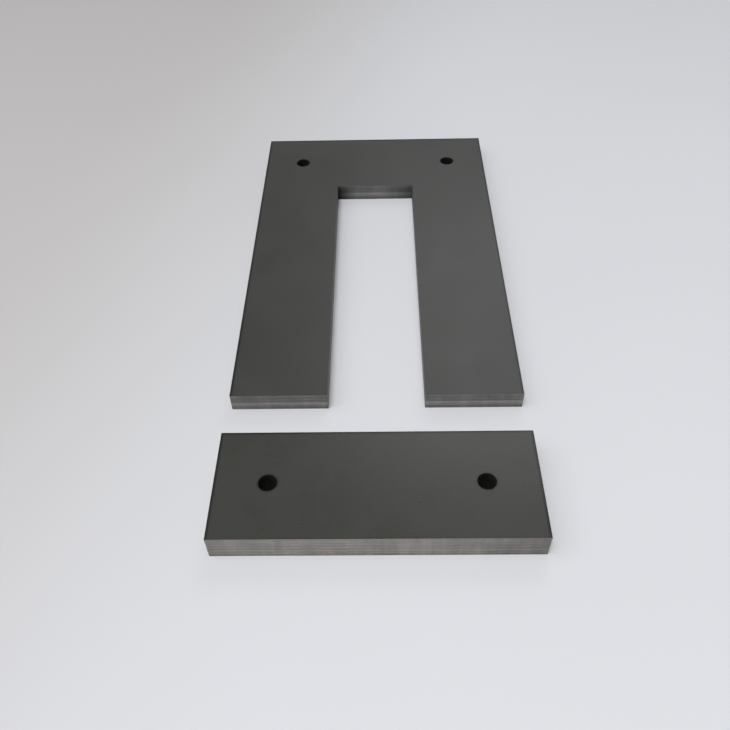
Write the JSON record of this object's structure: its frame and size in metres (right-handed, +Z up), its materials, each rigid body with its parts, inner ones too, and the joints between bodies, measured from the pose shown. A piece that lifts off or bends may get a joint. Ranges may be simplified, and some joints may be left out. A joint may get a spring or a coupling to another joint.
{
  "type": "ui core lamination set",
  "caption": "Stack of flat U-shaped silicon steel sheets with a coil window, and the stack of straight bar sheets that closes it, with bolt holes, for a transformer core.",
  "frame": {"origin": "middle of the set's footprint, on the surface that it lies on", "axes": "+Y from the straight bar towards the yoke of the U, +Z up through the sheets, +X across the legs"},
  "size_m": [0.1142, 0.2482, 0.011],
  "materials": {
    "u_steel": "dark grey insulating coat, satin, with bare sheared edges",
    "bar_steel": "dark grey insulating coat, satin, with bare sheared edges"
  },
  "bodies": {
    "root": {"u_sheet_01": "u_steel", "u_sheet_02": "u_steel", "u_sheet_03": "u_steel", "u_sheet_04": "u_steel", "u_sheet_05": "u_steel", "u_sheet_06": "u_steel", "u_sheet_07": "u_steel", "u_sheet_08": "u_steel", "u_sheet_09": "u_steel", "u_sheet_10": "u_steel", "u_sheet_11": "u_steel", "u_sheet_12": "u_steel", "u_sheet_13": "u_steel", "u_sheet_14": "u_steel", "u_sheet_15": "u_steel", "u_sheet_16": "u_steel", "bar_sheet_01": "bar_steel", "bar_sheet_02": "bar_steel", "bar_sheet_03": "bar_steel", "bar_sheet_04": "bar_steel", "bar_sheet_05": "bar_steel", "bar_sheet_06": "bar_steel", "bar_sheet_07": "bar_steel", "bar_sheet_08": "bar_steel", "bar_sheet_09": "bar_steel", "bar_sheet_10": "bar_steel", "bar_sheet_11": "bar_steel", "bar_sheet_12": "bar_steel", "bar_sheet_13": "bar_steel", "bar_sheet_14": "bar_steel", "bar_sheet_15": "bar_steel", "bar_sheet_16": "bar_steel", "bar_sheet_17": "bar_steel", "bar_sheet_18": "bar_steel", "bar_sheet_19": "bar_steel", "bar_sheet_20": "bar_steel", "bar_sheet_21": "bar_steel", "bar_sheet_22": "bar_steel"}
  },
  "joints": []
}
